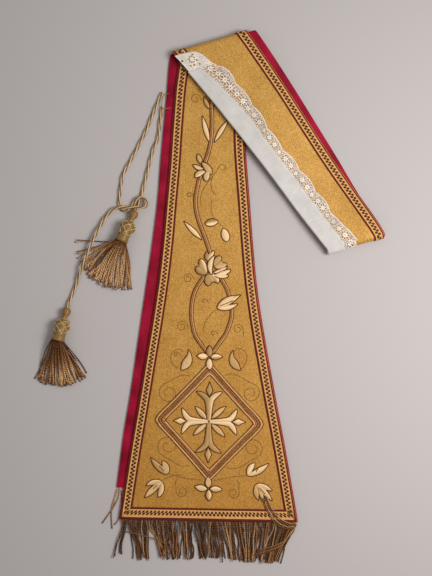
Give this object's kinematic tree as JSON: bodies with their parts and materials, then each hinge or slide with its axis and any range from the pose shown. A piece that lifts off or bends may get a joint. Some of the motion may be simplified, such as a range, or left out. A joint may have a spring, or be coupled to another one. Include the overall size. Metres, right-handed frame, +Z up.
{
  "type": "clerical stole",
  "caption": "Gold cloth priest's stole with raised goldwork and fringe, laid flat and doubled, with a linen neck collar and a tasselled tie.",
  "frame": {"origin": "on the surface that the stole lies on, under the middle of the cloth's bounding box, with the tie left out", "axes": "+Z up; +Y along the stole's length, from the fringed wide end to the fold at the top; +X towards the side where the neck comes down"},
  "size_m": [0.4708, 0.7187, 0.0228],
  "materials": {
    "gold_cloth": "gold lame brocade with a metallic weft, softly shining",
    "crimson_lining": "crimson satin lining",
    "galloon": "woven gold and brown trimming",
    "white_linen": "white starched linen",
    "lace": "cream machine lace",
    "bullion": "twisted gold and brown bullion strands",
    "cord": "twisted brown and gold cord",
    "thread": "brown thread"
  },
  "bodies": {
    "root": {"face_front": "gold_cloth", "face_under": "gold_cloth", "lining_front": "crimson_lining", "lining_under": "crimson_lining", "galloon_front": "galloon", "galloon_neck": "galloon", "galloon_fold": "galloon", "collar": "white_linen", "collar_lace": "lace", "collar_lace_end": "lace", "fringe_front": "bullion", "fringe_under": "bullion", "cord_long": "cord", "cord_short": "cord", "cord_thread": "thread", "tassel_near": "bullion", "tassel_far": "bullion"}
  },
  "joints": []
}
